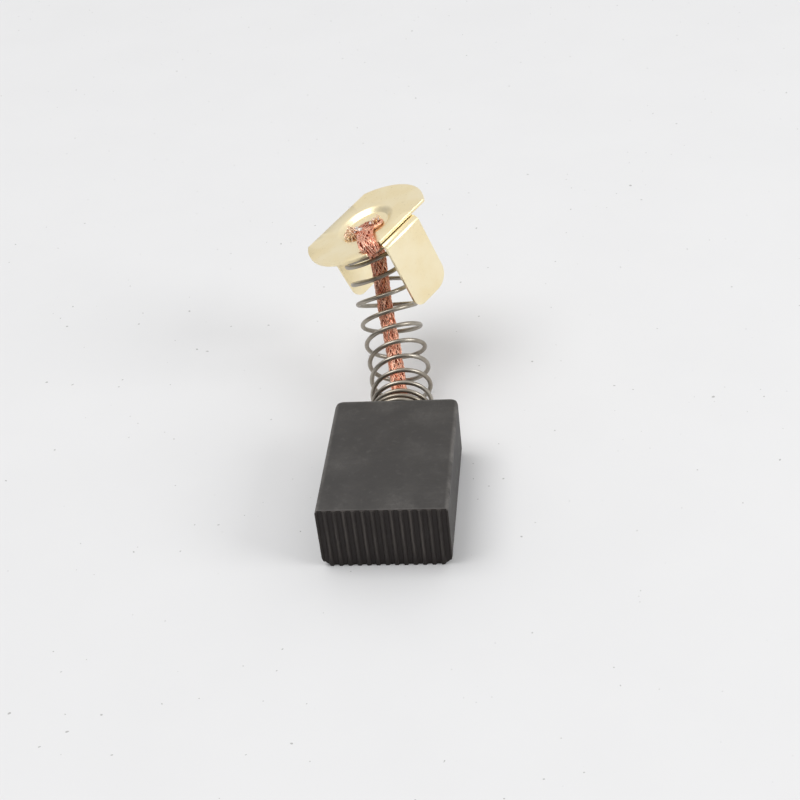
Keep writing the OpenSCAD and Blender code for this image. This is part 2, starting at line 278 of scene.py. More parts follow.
def carbon_finish():
    """Pressed carbon: dark warm grey with fine grain, rubbed spots and worn edges; the ribbed
    face darkened, with painted highlight lines along the rib crests and painted shade deep in the
    grooves.
    """
    sizes = bpy.context.scene.carbon_brush_block
    low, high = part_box("carbon_block")
    f = Finish("pressed_carbon")
    x, y, z = f.axes()
    cloud = f.noise(330, 5, 0.62)
    grain = f.noise(5200, 3, 0.7)
    scuff = f.ramp(f.noise(1300, 6, 0.7), 0.53, 0.72)
    haze = f.ramp(f.noise(150, 3, 0.6), 0.35, 0.75)
    scratch = f.ramp(f.noise(900, 4, 0.6, stretch=(0.25, 3.0, 1)), 0.60, 0.72)
    streak = f.ramp(f.noise(700, 3, 0.5, stretch=(4.0, 0.22, 1)), 0.62, 0.74)

    to_side = high.x - x.size()
    to_top = high.z - z
    to_front = y - low.y
    to_back = high.y - y
    long_edge = f.ramp(to_side.most(to_top), 0.50 * MM, 0.10 * MM)
    back_edge = f.ramp(to_back.most(to_top), 0.36 * MM, 0.08 * MM)
    front_edge = f.ramp(to_front.most(to_top), 0.50 * MM, 0.12 * MM)
    upright = f.ramp(to_side.most(to_front), 0.30 * MM, 0.08 * MM)
    worn = long_edge.most(back_edge * 0.6).most(front_edge * 0.7).most(upright * 0.8)
    worn = worn * f.ramp(cloud, 0.25, 0.6)

    patches = f.ramp(f.noise(420, 6, 0.68), 0.42, 0.75)
    smoky = f.ramp(f.noise(190, 5, 0.6), 0.38, 0.70)
    wear = scuff * 0.10 + scratch * 0.14 * haze + streak * 0.10 * haze + patches * 0.26 * haze
    wear = wear + smoky * 0.12 + worn * 0.60
    base = f.mix(wear.least(1.0), sizes.carbon, sizes.rubbed)
    base = f.mix(f.ramp(grain, 0.40, 0.75) * 0.4, base, (0.036, 0.033, 0.031))

    depth = sizes.rib_depth
    front = f.ramp(to_front, 1.15 * depth, 1.02 * depth)
    # deep masks the groove bottoms, where the painted shade goes
    deep = f.ramp(to_front, 0.15 * depth, 0.55 * depth) * front
    crest = front * (1 - deep)
    uneven = f.ramp(f.noise(620, 4, 0.6, stretch=(1, 1, 0.3)), 0.30, 0.72)
    pitch = (high.x - low.x) / sizes.ribs
    wander = (f.noise(500, 2, 0.5) - 0.5) * (0.16 * MM)
    to_crest = (x - low.x + wander).math("PINGPONG", pitch / 2)
    # line masks painted highlight lines along the rib crests, fading towards the floor
    line = f.ramp(to_crest, 0.13 * MM, 0.04 * MM) * f.ramp(z, 0.3 * MM, 2.0 * MM)
    # The ribbed face is darkened, then given the painted highlight lines along its crests
    base = f.mix(crest * 0.95, base, (0.021, 0.016, 0.014))
    base = f.mix(crest * line * (0.12 + uneven * 0.88), base, (0.075, 0.064, 0.057))
    # painted shade deep in the grooves
    base = f.mix(deep * 0.92, base, sizes.groove_shade)

    height = grain * 0.6 + cloud * 0.4
    return f.set(Base_Color=base, Roughness=0.62 - scuff * 0.12, Specular_IOR_Level=0.35,
                 Normal=f.bump(height, 0.03 * MM, 0.6))


def powder_finish():
    """Tamped copper and graphite powder."""
    sizes = bpy.context.scene.carbon_brush_block
    f = Finish("tamped_powder")
    grain = f.noise(4200, 4, 0.7)
    base = f.mix(f.ramp(grain, 0.5, 0.72), sizes.powder, (0.42, 0.2, 0.12))
    return f.set(Base_Color=base, Roughness=0.7, Normal=f.bump(grain, 0.06 * MM))


def wire_finish():
    """Drawn spring steel: warm grey, satin, with darker stretches and fine specks."""
    sizes = bpy.context.scene.carbon_brush_spring
    f = Finish("spring_steel")
    stretch = f.noise(420, 3, 0.5)
    speck = f.noise(6500, 3, 0.7)
    base = f.mix(f.ramp(stretch, 0.35, 0.7), sizes.steel, (0.30, 0.26, 0.21))
    base = f.mix(f.ramp(speck, 0.60, 0.85) * 0.3, base, (0.13, 0.11, 0.09))
    return f.set(Base_Color=base, Metallic=1.0, Roughness=0.27 + stretch * 0.14)


def copper_finish(name, deep=False, tinned=False):
    """Fine copper wire, cleaner or duller from wire to wire; deep gives the dark core, painted
    shade between the strands.
    """
    sizes = bpy.context.scene.carbon_brush_braid
    f = Finish(name)
    if deep:
        patch = f.noise(1500, 3, 0.6)
        # the dark core's colours are painted shade between the strands
        base = f.mix(patch, sizes.shade_copper, (0.40, 0.10, 0.05))
        return f.set(Base_Color=base, Metallic=0.6, Roughness=0.5)
    patch = f.ramp(f.noise(750, 4, 0.6), 0.35, 0.75)
    tone = f.node("ShaderNodeAttribute", {"attribute_name": "strand"}, [], out="Fac")
    base = f.mix((tone * 0.75 + patch * 0.35).least(1.0), sizes.copper,
                 (0.90, 0.72, 0.48) if tinned else sizes.dull_copper)
    stain = f.ramp(f.noise(2200, 3, 0.6), 0.60, 0.78)
    base = f.mix(stain * 0.5, base, (0.30, 0.07, 0.04))
    return f.set(Base_Color=base, Metallic=0.72, Roughness=0.18 + patch * 0.14)


def brass_finish():
    """Pale brass sheet: satin, faintly clouded, with fine speckle and a few brown stains."""
    sizes = bpy.context.scene.carbon_brush_cap
    f = Finish("pale_brass")
    cloud = f.noise(240, 4, 0.55)
    grain = f.noise(2600, 3, 0.6)
    base = f.mix(f.ramp(cloud, 0.3, 0.7), sizes.brass, (0.94, 0.80, 0.50))
    stain = f.ramp(f.noise(900, 5, 0.7), 0.62, 0.80)
    base = f.mix(stain * 0.5, base, (0.62, 0.45, 0.22))
    fleck = f.ramp(f.noise(4200, 3, 0.6), 0.62, 0.74) * f.ramp(cloud, 0.35, 0.6)
    base = f.mix(fleck * 0.55, base, (0.50, 0.36, 0.17))
    rough = 0.27 + cloud * 0.08 + grain * 0.08
    return f.set(Base_Color=base, Metallic=1.0, Roughness=rough,
                 Normal=f.bump(grain * 0.5 + cloud * 0.5, 0.02 * MM, 0.5))


def brass_edge_finish():
    """Cut edges of the sheet, darker than its faces."""
    f = Finish("brass_edge")
    grime = f.ramp(f.noise(1500, 4, 0.7), 0.35, 0.65)
    base = f.mix(grime, (0.62, 0.48, 0.26), (0.24, 0.16, 0.08))
    return f.set(Base_Color=base, Metallic=1.0, Roughness=0.42)


def solder_finish():
    """Silver metal, lumpy, with darker pits and copper showing through."""
    sizes = bpy.context.scene.carbon_brush_cap
    f = Finish("solder")
    pits = f.noise(3000, 4, 0.7)
    base = f.mix(f.ramp(pits, 0.50, 0.62), sizes.solder, (0.62, 0.30, 0.22))
    base = f.mix(f.ramp(f.noise(4200, 3, 0.6), 0.55, 0.7) * 0.8, base, (0.12, 0.07, 0.06))
    return f.set(Base_Color=base, Metallic=1.0, Roughness=0.22 + pits * 0.2,
                 Normal=f.bump(pits, 0.1 * MM))


# ---------------------------------------------------------------------------------------
# Shared geometry: the cap's own axes, the bowed axis of the spring and the lead's route
# ---------------------------------------------------------------------------------------

def spring_face():
    """Middle of the block's back face, where the spring's axis and the lead start."""
    low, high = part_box("carbon_block")
    return Vector(((low.x + high.x) / 2, high.y, (low.z + high.z) / 2))


def cap_matrix():
    """From the cap's own axes (x along its flats, y leg to leg, z out of its face)."""
    cap = bpy.context.scene.carbon_brush_cap
    place = spring_face() + Vector((cap.side, cap.reach, cap.rise))
    return Matrix.Translation(place) @ Euler((cap.tilt, cap.lean, cap.turn)).to_matrix().to_4x4()


def ease(t):
    t = np.clip(t, 0, 1)
    return t * t * (3 - 2 * t)


def blend(a, b, t):
    return a + (b - a) * t


def unit(v):
    return v / np.linalg.norm(v, axis=-1, keepdims=True)


def square_to(v, axis):
    """The part of v that is square to the unit vector axis, as a unit vector."""
    return unit(v - np.sum(v * axis, axis=-1, keepdims=True) * axis)


def bezier(points, t):
    """Points of the Bezier curve at every t."""
    t = np.asarray(t, float)[..., None]
    layers = [np.broadcast_to(p, t.shape[:-1] + (3,)) for p in points]
    while len(layers) > 1:
        layers = [blend(p, q, t) for p, q in zip(layers, layers[1:])]
    return layers[0]


def distances(places):
    """Distance run along a chain of places."""
    return np.concatenate([[0], np.cumsum(np.linalg.norm(np.diff(places, axis=0), axis=1))])


def from_table(x, xs, rows):
    """Linear look-up in a table whose rows are vectors."""
    return np.stack([np.interp(x, xs, column) for column in rows.T], axis=-1)


class SpringAxis:
    """The bowed centre line of the spring and the coil wound on it, as tables."""
    CURVE_STEPS = 400
    TABLE_PER_TURN = 60
    BLOCK_EASE = 3.2
    CAP_EASE = 0.6
    TIP_TURN = 0.35

    def __init__(self):
        spring = bpy.context.scene.carbon_brush_spring
        cap = bpy.context.scene.carbon_brush_cap
        cap_place = cap_matrix()
        start = np.array(spring_face())
        top = np.array(cap_place @ Vector((-0.17 * spring.outside, -0.06 * spring.outside,
                                           -cap.sheet - 1.41 * spring.close_pitch)))
        arrival = np.array((cap_place.to_3x3() @ Vector((-0.18, -0.17, -1))).normalized())
        leaving = np.array((0, math.cos(spring.dip), -math.sin(spring.dip)))
        points = [
            start,
            start + spring.lead_out * leaving,
            start + np.array((0.72 * cap.side, 0.81 * cap.reach, 0.36 * cap.rise)),
            top + spring.lead_in * arrival,
            top,
        ]
        self.curve = bezier(points, np.linspace(0, 1, self.CURVE_STEPS + 1))
        self.run = distances(self.curve)
        self.length = self.run[-1]
        self.turns = spring.turns
        self.radius = (spring.outside - spring.wire) / 2
        self.wire_r = spring.wire / 2
        self.table(spring)
        normal = np.array(cap_place.to_3x3() @ Vector((0, 0, 1)))
        reach = (np.array(cap_place.translation) - self.wire_path[-1]) @ normal
        lift = (reach - cap.sheet - self.wire_r - TOUCH) * ease(
            1 - (self.turns - self.turn) / self.TIP_TURN)
        self.wire_path += lift[:, None] * normal

    def at(self, s):
        return from_table(s, self.run, self.curve)

    def way(self, s):
        """Direction of the centre line at a distance along it."""
        near = 0.05 * MM
        ahead = self.at(np.minimum(self.length, s + near))
        return unit(ahead - self.at(np.maximum(0, s - near)))

    def table(self, spring):
        """Place, axis direction, spoke and wire centre for closely spaced turns."""
        count = round(self.turns * self.TABLE_PER_TURN)
        self.turn = np.linspace(0, self.turns, count + 1)
        opened = np.cumsum(self.openness(self.turn, spring))
        spare = self.length - self.wire_r - spring.close_pitch * self.turns
        rise = self.wire_r + spring.close_pitch * self.turn + spare * opened / opened[-1]
        ways = self.way(rise)
        side = square_to(np.array((1.0, 0, 0)), ways[0])
        sides = []
        for way in ways:
            side = square_to(side, way)
            sides.append(side)
        sides = np.array(sides)
        a = math.pi + 2 * math.pi * self.turn[:, None]
        self.spoke = np.cos(a) * sides + np.sin(a) * np.cross(ways, sides)
        self.wire_path = self.at(rise) + self.radius * self.spoke

    def openness(self, turn, spring):
        """Share of the open pitch at a turn: none at either end, all of it between them."""
        out = (turn - spring.block_close + self.BLOCK_EASE / 2) / self.BLOCK_EASE
        back = (spring.turns - spring.cap_close + self.CAP_EASE / 2 - turn) / self.CAP_EASE
        return ease(out) * ease(back)

    def bent(self, co, pitch):
        """Moves points of a straight coil to the bowed one."""
        part = np.arctan2(co[:, 1], co[:, 0]) / (2 * math.pi)
        turn = np.clip(part + np.round(co[:, 2] / pitch - part), 0, self.turns)
        outward = np.hypot(co[:, 0], co[:, 1]) - self.radius
        upward = co[:, 2] - pitch * turn
        near = 0.004  # turns
        ahead = from_table(turn + near, self.turn, self.wire_path)
        behind = from_table(turn - near, self.turn, self.wire_path)
        way = unit(ahead - behind)
        out = square_to(from_table(turn, self.turn, self.spoke), way)
        return (from_table(turn, self.turn, self.wire_path) + outward[:, None] * out
                - upward[:, None] * np.cross(way, out))


class BraidPath:
    """Route of the copper lead: from the block, up the spring, out through the notch and
    back over the cap's face to the dish."""
    ROWS = 900
    IN_PLUG = 4 * MM

    def __init__(self):
        self.sizes = bpy.context.scene.carbon_brush_braid
        self.cap = bpy.context.scene.carbon_brush_cap
        self.cap_place = cap_matrix()
        self.notch = Vector((-(self.cap.leg_width + self.cap.notch_width) / 2,
                             self.cap.notch_depth - self.cap.flats / 2))
        self.weld = self.cap.dish * Vector((-0.065, -0.07))
        self.inward = (self.weld - self.notch).normalized()
        self.weld_z = -self.cap.dish_depth + self.sizes.weld_thickness / 2 + TOUCH
        self.table(np.array([(*place, flat) for place, flat in self.stops()]))

    def on_way(self, share, z, aside=0.0):
        """A point at a share of the way from the notch to the weld, at a height."""
        p = self.notch.lerp(self.weld, share) + aside * Vector((self.inward.y, -self.inward.x))
        return self.cap_place @ Vector((p.x, p.y, z))

    def stops(self):
        """Points along the lead: place and share of the flattened shape."""
        axis = SpringAxis()
        face = spring_face()
        d = self.sizes.diameter
        over_z = self.sizes.flat_thickness / 2 + TOUCH
        under_z = -self.cap.sheet - over_z
        in_plug = Vector((0, -self.IN_PLUG, 0))
        left = Vector((-d, 0, 0))
        weld = self.on_way(1, self.weld_z)
        last = self.cap_place.to_3x3() @ Vector((self.inward.x, self.inward.y, 0))
        return [
            (face + in_plug, 0),
            (face + in_plug / 2, 0),
            (face, 0),
            (Vector(axis.at(0.12 * axis.length)) + 0.06 * left, 0),
            (Vector(axis.at(0.3 * axis.length)) + 0.18 * left, 0),
            (Vector(axis.at(0.48 * axis.length)) + 0.2 * left, 0),
            (Vector(axis.at(0.66 * axis.length)) + 0.18 * left, 0),
            (Vector(axis.at(0.8 * axis.length)), 0.1),
            (self.on_way(0.73, 3.4 * under_z), 0.6),
            (self.on_way(0.57, 1.75 * under_z), 0.9),
            (self.on_way(0.31, 1.35 * under_z, -0.1 * d), 1),
            (self.on_way(0.04, 0.96 * under_z), 1),
            (self.on_way(-0.12, -self.cap.sheet / 2, 0.15 * d), 1),
            (self.on_way(0.02, 1.1 * over_z, 0.06 * d), 1),
            (self.on_way(0.3, over_z), 1),
            (self.on_way(0.51, 0.9 * over_z), 1),
            (self.on_way(0.84, 0.6 * self.weld_z), 1),
            (weld, 1),
            (weld + self.sizes.weld_length / 2 * last, 1),
        ]

    def table(self, stops):
        """Catmull-Rom curve through the stops, then frames and half sizes along it."""
        knots = np.linspace(0, len(stops) - 1, self.ROWS + 1)
        i = np.minimum(len(stops) - 2, knots.astype(int))
        t = (knots - i)[:, None]
        a, b, c, d = (stops[np.clip(i + n, 0, len(stops) - 1)] for n in (-1, 0, 1, 2))
        rows = (2 * b + (c - a) * t + (2 * a - 5 * b + 4 * c - d) * t * t
                + (3 * b - a - 3 * c + d) * t ** 3) / 2
        self.places = rows[:, :3]
        flat = np.clip(rows[:, 3], 0, 1)
        self.run = distances(self.places)
        self.length = self.run[-1]
        ways = unit(np.gradient(self.places, axis=0))
        across = np.array(self.cap_place.to_3x3()
                          @ Vector((self.inward.y, -self.inward.x, 0)))
        self.outs = square_to(across, ways)
        self.overs = np.cross(ways, self.outs)
        self.ways = ways
        sizes = self.sizes
        to_go = self.length - self.run
        width = blend(sizes.diameter, sizes.flat_width, flat) / 2
        thick = blend(sizes.diameter, sizes.flat_thickness, flat) / 2
        bar = np.clip(1 - to_go / sizes.weld_length, 0, 1)
        reach = np.maximum(0.02, 1 - np.abs(2 * bar - 1) ** 3) ** (1 / 3) * (bar > 0)
        width = np.where(to_go > 0.2 * sizes.weld_length, width, 0.2 * width)
        width = np.maximum(width, reach * sizes.weld_width / 2)
        thick = blend(thick, sizes.weld_thickness / 2, ease(2 - to_go / sizes.weld_length))
        self.halves = np.stack([width, thick], axis=-1)

    def section(self, s):
        """Centre, direction, width axis, thickness axis and half sizes at distances s."""
        place, way, out, over, half = (
            from_table(s, self.run, table)
            for table in (self.places, self.ways, self.outs, self.overs, self.halves))
        return place, unit(way), unit(out), unit(over), half[..., :1], half[..., 1:]


def straight_tube(rows, sides):
    """A closed tube of radius 1 along z with a ring at every whole number up to rows."""
    bm = bmesh.new()
    bmesh.ops.create_circle(bm, cap_ends=True, segments=sides, radius=1)
    bmesh.ops.spin(bm, geom=list(bm.faces) + list(bm.edges) + list(bm.verts), cent=(0, 0, 0),
                   axis=(0, 0, 1), dvec=(0, 0, 1), angle=0, steps=rows, use_duplicate=False)
    bmesh.ops.recalc_face_normals(bm, faces=bm.faces)
    mesh = bpy.data.meshes.new("straight_tube")
    bm.to_mesh(mesh)
    bm.free()
    return mesh


def append(bm, mesh):
    """Adds a copy of the mesh to bm; returns the new vertices and their coordinates."""
    first = len(bm.verts)
    bm.from_mesh(mesh)
    bm.verts.ensure_lookup_table()
    verts = bm.verts[first:]
    return verts, coordinates(verts)


def coordinates(verts):
    return np.array([v.co for v in verts])


def place_all(verts, places):
    for vert, place in zip(verts, places):
        vert.co = place


def finished(name, bm, materials, body, node):
    """Makes a piece that stands for a CAD node; it rides on a body unless that is None."""
    mesh = bpy.data.meshes.new(name)
    bm.to_mesh(mesh)
    bm.free()
    for material in materials:
        mesh.materials.append(material)
    for polygon in mesh.polygons:
        polygon.use_smooth = True
    piece = bpy.data.objects.new(name, mesh)
    bpy.context.scene.collection.objects.link(piece)
    if body:
        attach(piece, body)
    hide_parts(node)
    return piece


def flatten_shading(piece):
    """Keeps broad flat faces flat beside narrow rounded edges."""
    weighted = piece.modifiers.new("flat_faces", "WEIGHTED_NORMAL")
    weighted.mode = "FACE_AREA"
    weighted.weight = 100
    weighted.keep_sharp = True


def paint_node(node, material):
    """Gives a CAD node that is shown as it is a better material."""
    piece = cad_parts[node]
    piece.data.materials.clear()
    piece.data.materials.append(material)


# ---------------------------------------------------------------------------------------
# Pieces
# ---------------------------------------------------------------------------------------

class CARBONBRUSH_OT_block(bpy.types.Operator):
    """Carbon block with softened edges"""
    bl_idname = "carbon_brush.block"
    bl_label = "Carbon block"

    def execute(self, context):
        sizes = context.scene.carbon_brush_block
        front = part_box("carbon_block")[0].y + 1.5 * sizes.rib_depth
        bm = bmesh.new()
        bm.from_mesh(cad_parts["carbon_block"].data)
        bmesh.ops.remove_doubles(bm, verts=bm.verts, dist=0.0005 * MM)
        bmesh.ops.dissolve_limit(bm, angle_limit=math.radians(1), verts=bm.verts,
                                 edges=bm.edges)
        self.soften(bm, 0.25 * sizes.edge_wear, lambda e: max(v.co.y for v in e.verts) < front)
        self.soften(bm, sizes.edge_wear, lambda e: min(v.co.y for v in e.verts) > front
                    or e.calc_length() > 3 * MM)
        block = finished("carbon_block_worn", bm, [carbon_finish()], "block",
                         "carbon_block")
        set_sharp(block, 38)
        flatten_shading(block)
        paint_node("tamping_plug", powder_finish())
        return {"FINISHED"}

    @staticmethod
    def soften(bm, offset, wanted):
        """Bevels the sharp edges that are wanted."""
        sharp = [e for e in bm.edges
                 if e.is_manifold and e.calc_face_angle() > math.radians(30) and wanted(e)]
        bmesh.ops.bevel(bm, geom=sharp, offset=offset, offset_type="OFFSET", segments=3,
                        profile=0.5, affect="EDGES", clamp_overlap=True, material=-1)


def set_sharp(piece, degrees):
    """Flat shading across edges sharper than the given angle."""
    bm = bmesh.new()
    bm.from_mesh(piece.data)
    for edge in bm.edges:
        edge.smooth = not edge.is_manifold or edge.calc_face_angle() < math.radians(degrees)
    bm.to_mesh(piece.data)
    bm.free()


class CARBONBRUSH_OT_spring(bpy.types.Operator):
    """Coil spring, spun straight and then bent along its bowed axis"""
    bl_idname = "carbon_brush.spring"
    bl_label = "Coil spring"
    SECTION_SIDES = 14
    STEPS_PER_TURN = 56
    STRAIGHT_PITCH = 10  # in radii of the wire, so that the turns keep apart until bent

    def execute(self, context):
        axis = SpringAxis()
        steps = round(axis.turns * self.STEPS_PER_TURN)
        pitch = self.STRAIGHT_PITCH * axis.wire_r
        bm = bmesh.new()
        ring = bmesh.ops.create_circle(bm, cap_ends=True, segments=self.SECTION_SIDES,
                                       radius=axis.wire_r,
                                       matrix=Matrix.Translation((axis.radius, 0, 0))
                                       @ Matrix.Rotation(math.pi / 2, 4, "X"))
        start = list(bm.faces)
        bmesh.ops.spin(bm, geom=start + list(bm.edges) + ring["verts"], cent=(0, 0, 0),
                       axis=(0, 0, 1), dvec=(0, 0, pitch * axis.turns / steps),
                       angle=2 * math.pi * axis.turns, steps=steps, use_merge=False,
                       use_duplicate=False)
        place_all(bm.verts, axis.bent(coordinates(bm.verts), pitch))
        bmesh.ops.recalc_face_normals(bm, faces=bm.faces)
        spring = finished("coil_spring_wire", bm, [wire_finish()], None, "coil_spring")
        set_sharp(spring, 60)
        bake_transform(spring)
        return {"FINISHED"}


class CARBONBRUSH_OT_braid(bpy.types.Operator):
    """Plaited copper lead: fine wires laid both ways round a dark core, painted shade between
    them
    """
    bl_idname = "carbon_brush.braid"
    bl_label = "Copper braid"
    ROWS_PER_LAY = 48
    CORE_ROWS = 240
    CORE_SHARE = 0.80
    WIRE_R = 0.066 * MM
    STRAND_COVER = 0.78
    MEAN_LIFT = 0.90
    WEAVE_LIFT = 0.085

    def execute(self, context):
        path = BraidPath()
        sizes = context.scene.carbon_brush_braid
        rng = random.Random(11)
        bm = bmesh.new()
        shade = bm.verts.layers.float.new("strand")
        self.add_shade_core(bm, path, shade)
        rows = round(path.length / sizes.lay * self.ROWS_PER_LAY)
        tube = straight_tube(rows, 5)
        for hand in (-1, 1):
            for carrier in range(sizes.carriers):
                for wire in range(sizes.wires):
                    verts, co = append(bm, tube)
                    co[:, 2] *= path.length / rows
                    self.lay_wire(verts, co, path, (hand, carrier, wire), rng, shade)
        # copper_shade_core is the painted shade of the dark core
        braid = finished("copper_braid_plait", bm,
                         [copper_finish("copper_wire"), copper_finish("copper_shade_core", True)],
                         None, "copper_braid")
        axis = SpringAxis()
        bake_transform(braid)
        return {"FINISHED"}

    def add_shade_core(self, bm, path, shade):
        """Dark core of the plait: painted shade seen between the strands."""
        verts, co = append(bm, straight_tube(self.CORE_ROWS, 12))
        place, _, out, over, half_w, half_t = path.section(
            co[:, 2] / self.CORE_ROWS * path.length)
        round_it = co[:, :1] * half_w * out + co[:, 1:2] * half_t * over
        place_all(verts, place + self.CORE_SHARE * round_it)
        for vert in verts:
            vert[shade] = 1.0
        for face in bm.faces:
            face.material_index = 1

    def lay_wire(self, verts, co, path, which, rng, shade):
        """Lays one fine wire of one strand over and under the strands of the other hand."""
        hand, carrier, wire = which
        sizes = path.sizes
        s = co[:, 2:]
        place, way, out, over, half_w, half_t = path.section(s[:, 0])
        first = 2 * math.pi * carrier / sizes.carriers
        spread = 2 * math.pi / sizes.carriers * self.STRAND_COVER
        offset = (wire - (sizes.wires - 1) / 2) / sizes.wires * spread
        a = hand * 2 * math.pi * s / sizes.lay + first + offset
        a += 0.07 * np.sin(s / sizes.lay * 11 + rng.uniform(0, 6.28))
        a += 0.05 * np.sin(s / sizes.lay * 37 + rng.uniform(0, 6.28))
        weave = np.cos(sizes.carriers * (a - offset) + (carrier % 2) * math.pi)
        lift = self.MEAN_LIFT + self.WEAVE_LIFT * weave * hand + rng.uniform(-0.015, 0.015)
        radial = np.cos(a) * half_w * out + np.sin(a) * half_t * over
        outward = unit(radial)
        side = unit(np.cross(way, outward))
        place_all(verts, place + lift * radial
                  + self.WIRE_R * (co[:, :1] * outward + co[:, 1:2] * side))
        tone = min(1.0, max(0.0, rng.gauss(0.4, 0.3)))
        for vert in verts:
            vert[shade] = tone


class CARBONBRUSH_OT_cap(bpy.types.Operator):
    """Brass disc with its dish and notch, over a folded strip with two legs"""
    bl_idname = "carbon_brush.cap"
    bl_label = "Terminal cap"
    LAYER_GAP = 0.1 * MM
    EDGE_ROUND = 0.05 * MM
    NOTCH_SLANT = math.radians(30)
    LIP_STEPS = 14
    DISC_STEPS = 144
    WELD_DIST = 0.001 * MM

    def execute(self, context):
        cap = context.scene.carbon_brush_cap
        bm = bmesh.new()
        self.add_strip(bm, cap)
        self.add_disc(bm, cap)
        bm.transform(cap_matrix())
        piece = finished("terminal_cap_pressed", bm, [brass_finish(), brass_edge_finish()],
                         "cap", "terminal_cap")
        wall = piece.modifiers.new("sheet", "SOLIDIFY")
        wall.thickness = cap.sheet
        wall.offset = -1
        wall.use_even_offset = True
        edge = piece.modifiers.new("edge", "BEVEL")
        edge.width = self.EDGE_ROUND
        edge.segments = 2
        edge.material = 1
        edge.limit_method = "ANGLE"
        edge.angle_limit = math.radians(40)
        flatten_shading(piece)
        return {"FINISHED"}

    def add_disc(self, bm, cap):
        """Outer face of the disc: spun, then cut to its flat edges and its notch."""
        lip = [(blend(cap.dish_floor, cap.dish, t) / 2, -cap.dish_depth * (1 - ease(t)))
               for t in np.linspace(0, 1, self.LIP_STEPS + 1)]
        profile = [(0, -cap.dish_depth), *lip, (cap.diameter / 2, 0)]
        before = set(bm.verts)
        verts = [bm.verts.new((r, 0, z)) for r, z in profile]
        edges = [bm.edges.new(pair) for pair in zip(verts, verts[1:])]
        bmesh.ops.spin(bm, geom=verts + edges, cent=(0, 0, 0), axis=(0, 0, 1),
                       angle=2 * math.pi, steps=self.DISC_STEPS, use_merge=True)
        disc = [v for v in bm.verts if v not in before]
        bmesh.ops.remove_doubles(bm, verts=disc, dist=self.WELD_DIST)
        low = Vector((0, -cap.flats / 2, 0))
        for place, normal in ((low, (0, -1, 0)), (-low, (0, 1, 0))):
            self.cut(bm, before, place, normal, True)
        notch = Vector((-(cap.leg_width + cap.notch_width) / 2,
                        cap.notch_depth - cap.flats / 2, 0))
        floor_way = Vector((math.sin(self.NOTCH_SLANT), math.cos(self.NOTCH_SLANT), 0))
        half = Vector((cap.notch_width / 2, 0, 0))
        walls = ((notch - half, Vector((-1, 0, 0))), (notch + half, Vector((1, 0, 0))),
                 (notch, floor_way))
        for place, normal in walls:
            self.cut(bm, before, place, normal, False)
        gone = [f for f in bm.faces if not before.intersection(f.verts)
                and f.calc_center_median().y < 0
                and all((f.calc_center_median() - place).dot(normal) < 0
                        for place, normal in walls)]
        bmesh.ops.delete(bm, geom=gone, context="FACES")
        self.face_up([f for f in bm.faces if not before.intersection(f.verts)], bm)

    def cut(self, bm, others, place, normal, clear):
        """Cuts all faces but the others' along a plane; clear removes what is beyond it."""
        faces = [f for f in bm.faces if not others.intersection(f.verts)]
        edges = {e for f in faces for e in f.edges}
        verts = {v for f in faces for v in f.verts}
        bmesh.ops.bisect_plane(bm, geom=[*verts, *edges, *faces], plane_co=place,
                               plane_no=normal, clear_outer=clear, dist=self.WELD_DIST)

    @staticmethod
    def face_up(faces, bm):
        """Turns a sheet's faces so that the flat top looks up."""
        bmesh.ops.recalc_face_normals(bm, faces=faces)
        if sum(f.normal.z * f.calc_area() for f in faces) < 0:
            bmesh.ops.reverse_faces(bm, faces=faces)

    def add_strip(self, bm, cap):
        """Outer face of the folded strip: a flat under the disc, a fold and a leg, mirrored."""
        top = -cap.sheet - self.LAYER_GAP
        radius = cap.fold + cap.sheet
        fold_y = cap.leg_span / 2 - radius
        across = [bm.verts.new((side * cap.leg_width / 2, 0, top)) for side in (-1, 1)]
        edge = bm.edges.new(across)
        out = bmesh.ops.extrude_edge_only(bm, edges=[edge])["geom"]
        ends = [v for v in out if isinstance(v, bmesh.types.BMVert)]
        bmesh.ops.translate(bm, verts=ends, vec=(0, fold_y, 0))
        end = [e for e in out if isinstance(e, bmesh.types.BMEdge)
               and all(v in ends for v in e.verts)]
        last = bmesh.ops.spin(bm, geom=end + ends, cent=(0, fold_y, top - radius),
                              axis=(-1, 0, 0), angle=math.pi / 2 + cap.toe_in,
                              steps=12)["geom_last"]
        end = [e for e in last if isinstance(e, bmesh.types.BMEdge)]
        out = bmesh.ops.extrude_edge_only(bm, edges=end)["geom"]
        tips = [v for v in out if isinstance(v, bmesh.types.BMVert)]
        drop = cap.leg_length + top - radius
        bmesh.ops.translate(bm, verts=tips, vec=(0, -drop * math.sin(cap.toe_in),
                                                 -drop * math.cos(cap.toe_in)))
        for tip in tips:
            corner = cap.big_corner if tip.co.x > 0 else cap.small_corner
            bmesh.ops.bevel(bm, geom=[tip], offset=corner, offset_type="OFFSET", segments=10,
                            profile=0.5, affect="VERTICES", clamp_overlap=False, material=-1)
        bmesh.ops.mirror(bm, geom=[*bm.verts, *bm.edges, *bm.faces], axis="Y",
                         merge_dist=self.WELD_DIST)
        self.face_up(list(bm.faces), bm)


